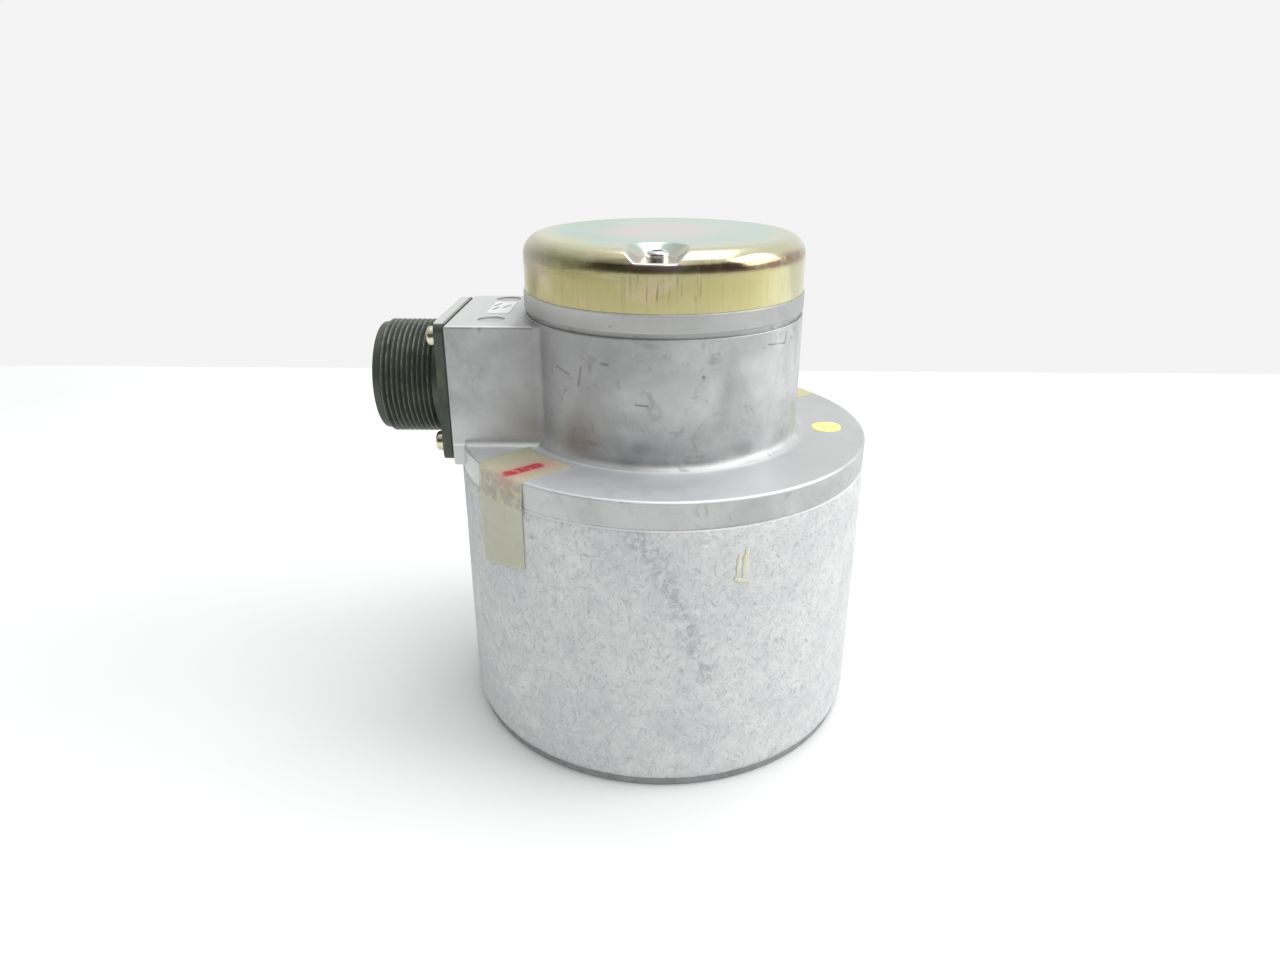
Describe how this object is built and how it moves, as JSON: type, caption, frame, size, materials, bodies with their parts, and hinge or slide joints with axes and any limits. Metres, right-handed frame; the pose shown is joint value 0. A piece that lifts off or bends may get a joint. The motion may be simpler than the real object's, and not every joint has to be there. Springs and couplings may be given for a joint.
{
  "type": "rotary encoder",
  "caption": "Flanged industrial shaft encoder with a square connector boss, threaded round connector, dished steel cap and a taped-on paperboard tube over the shaft end.",
  "frame": {"origin": "on the shaft axis, at the mounting face of the flange", "axes": "+Z along the shaft axis from the shaft end to the cap; the connector points along -X"},
  "size_m": [0.1364, 0.1156, 0.1371],
  "materials": {
    "cast_aluminium": "die-cast, satin, stained",
    "chromated_steel": "drawn steel, zinc plated, glossy yellow chromate",
    "black_rubber": "matte",
    "zinc_steel": "zinc plated",
    "olive_aluminium": "olive drab plating, semi-gloss",
    "dark_insulator": "moulded insulator",
    "contact_brass": "silver plated",
    "nickel_steel": "nickel plated",
    "wire_insulation": "coloured insulation",
    "white_label": "matte",
    "yellow_sticker": "satin",
    "old_tape": "aged clear tape",
    "bearing_steel": "ground and polished",
    "sheet_steel": "stamped",
    "turned_aluminium": "turned",
    "shaft_steel": "ground stainless",
    "code_glass": "chrome on glass",
    "black_plastic": "moulded",
    "clear_resin": "clear",
    "board_green": "solder resist",
    "capacitor_sleeve": "sleeve",
    "board_ceramic": "chip",
    "cream_plastic": "moulded",
    "standoff_brass": "bright",
    "grey_paperboard": "grey recycled board, fibrous",
    "dark_board": "dark pressed board"
  },
  "bodies": {
    "housing": {"body_casting": "cast_aluminium", "rear_cover": "chromated_steel", "cover_o_ring": "black_rubber", "cover_screw": "zinc_steel", "connector_shell": "olive_aluminium", "connector_insert": "dark_insulator", "connector_pins": "contact_brass", "connector_gasket": "black_rubber", "connector_screws": "nickel_steel", "connector_spring_washers": "nickel_steel", "signal_wires": "wire_insulation", "boss_label": "white_label", "inspection_dot": "yellow_sticker", "tape_strip_front": "old_tape", "tape_strip_rear": "old_tape", "front_bearing_outer_ring": "bearing_steel", "front_bearing_shields": "sheet_steel", "rear_bearing_outer_ring": "bearing_steel", "rear_bearing_shields": "sheet_steel", "bearing_outer_spacer": "turned_aluminium", "bearing_retainer": "sheet_steel", "retainer_screws": "zinc_steel", "preload_wave_washer": "sheet_steel", "shaft_seal": "black_rubber", "garter_spring": "sheet_steel", "optical_bracket": "black_plastic", "bracket_screws": "zinc_steel", "led_lamp": "clear_resin", "collimator_lens": "clear_resin", "photodiode_array": "black_plastic", "index_mask": "code_glass", "sensor_leads": "contact_brass", "main_circuit_board": "board_green", "board_chips": "black_plastic", "board_capacitors": "capacitor_sleeve", "board_resistors": "board_ceramic", "board_header": "cream_plastic", "lower_standoffs": "standoff_brass", "cover_post": "standoff_brass", "board_screws": "zinc_steel"},
    "rotor": {"front_bearing_inner_ring": "bearing_steel", "rear_bearing_inner_ring": "bearing_steel", "bearing_inner_spacer": "sheet_steel", "shaft": "shaft_steel", "shaft_retaining_ring": "sheet_steel", "disc_hub": "turned_aluminium", "hub_set_screw": "zinc_steel", "code_disc": "code_glass", "disc_clamp_ring": "turned_aluminium", "disc_clamp_screws": "zinc_steel"},
    "front_cage": {"front_bearing_cage": "sheet_steel", "front_bearing_balls": "bearing_steel"},
    "rear_cage": {"rear_bearing_cage": "sheet_steel", "rear_bearing_balls": "bearing_steel"},
    "tube": {"protective_tube": "grey_paperboard", "tube_end_plug": "dark_board"}
  },
  "joints": [
    {"name": "shaft_spin", "type": "hinge", "parent": "housing", "child": "rotor", "pos_m": [0, 0, 0], "axis": [0, 0, 1], "continuous": true},
    {"name": "front_cage_spin", "type": "hinge", "parent": "housing", "child": "front_cage", "pos_m": [0, 0, 0.008], "axis": [0, 0, 1], "continuous": true},
    {"name": "rear_cage_spin", "type": "hinge", "parent": "housing", "child": "rear_cage", "pos_m": [0, 0, 0.026], "axis": [0, 0, 1], "continuous": true},
    {"name": "tube_slide", "type": "slide", "parent": "housing", "child": "tube", "axis": [0, 0, -1], "range_m": [0, 0.12]}
  ],
  "couplings": [
    {"joint": "front_cage_spin", "follows": "shaft_spin", "ratio": 0.381},
    {"joint": "rear_cage_spin", "follows": "shaft_spin", "ratio": 0.381}
  ]
}
